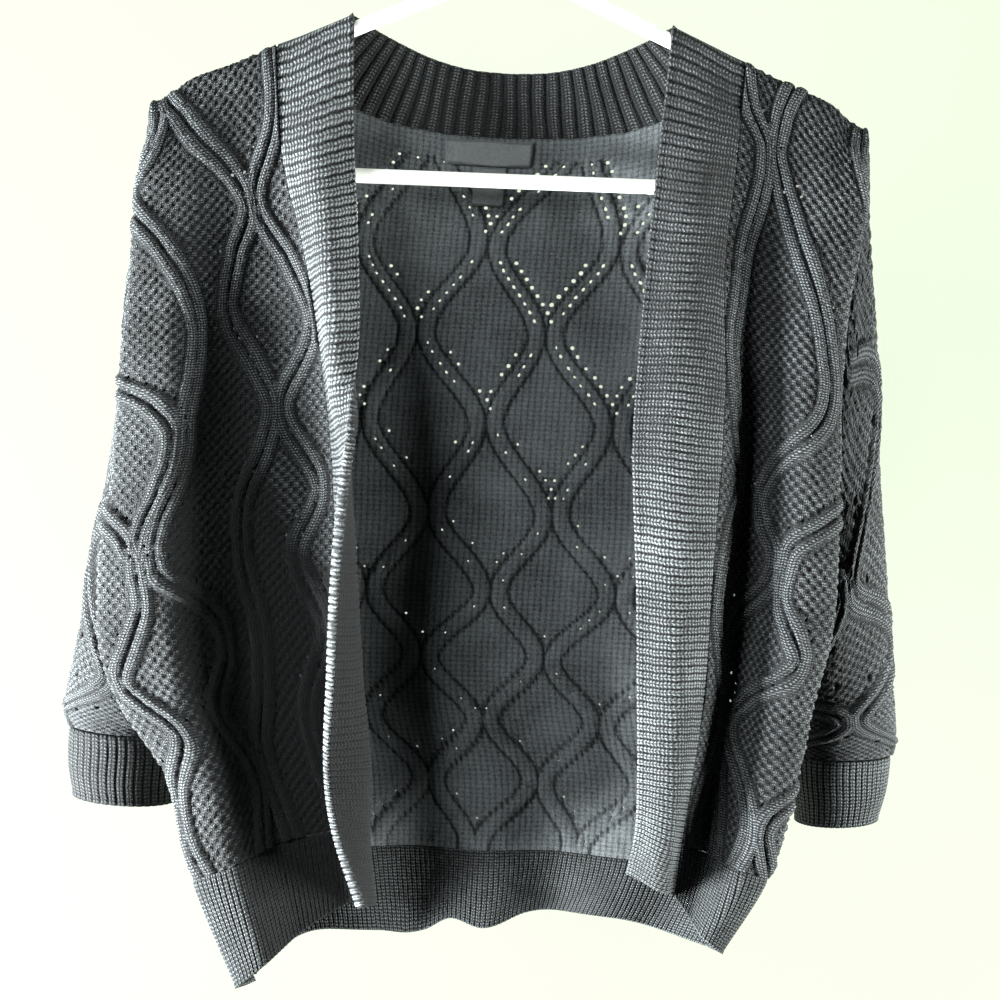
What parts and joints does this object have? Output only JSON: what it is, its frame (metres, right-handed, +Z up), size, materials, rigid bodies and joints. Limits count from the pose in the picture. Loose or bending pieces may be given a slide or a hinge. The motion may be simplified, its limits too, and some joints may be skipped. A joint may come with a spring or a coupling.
{
  "type": "cropped open-front cocoon cardigan on a tubular clothes hanger",
  "caption": "Cropped open-front cardigan in cabled knit with ribbed bands, hem and cuffs, hanging on a tubular plastic hanger with a rod hook.",
  "frame": {"origin": "crown of the hanger's hook, on its underside, where a rod carries it", "axes": "+Z up, -Y out of the cardigan's open front, +X to the right of someone looking at the front"},
  "size_m": [0.5298, 0.1268, 0.7404],
  "materials": {
    "cabled_knit": "matte charcoal knit with raised cables",
    "ribbed_knit": "matte charcoal ribbed knit",
    "woven_label": "bare woven satin",
    "hanger_plastic": "smooth white moulded plastic"
  },
  "bodies": {
    "root": {"back": "cabled_knit", "front_left": "cabled_knit", "front_right": "cabled_knit", "sleeve_left": "cabled_knit", "sleeve_right": "cabled_knit", "cuff_left": "ribbed_knit", "cuff_right": "ribbed_knit", "hem_back": "ribbed_knit", "hem_front_left": "ribbed_knit", "hem_front_right": "ribbed_knit", "band_left": "ribbed_knit", "band_right": "ribbed_knit", "band_neck": "ribbed_knit", "label": "woven_label", "size_label": "woven_label", "hanger": "hanger_plastic"}
  },
  "joints": []
}
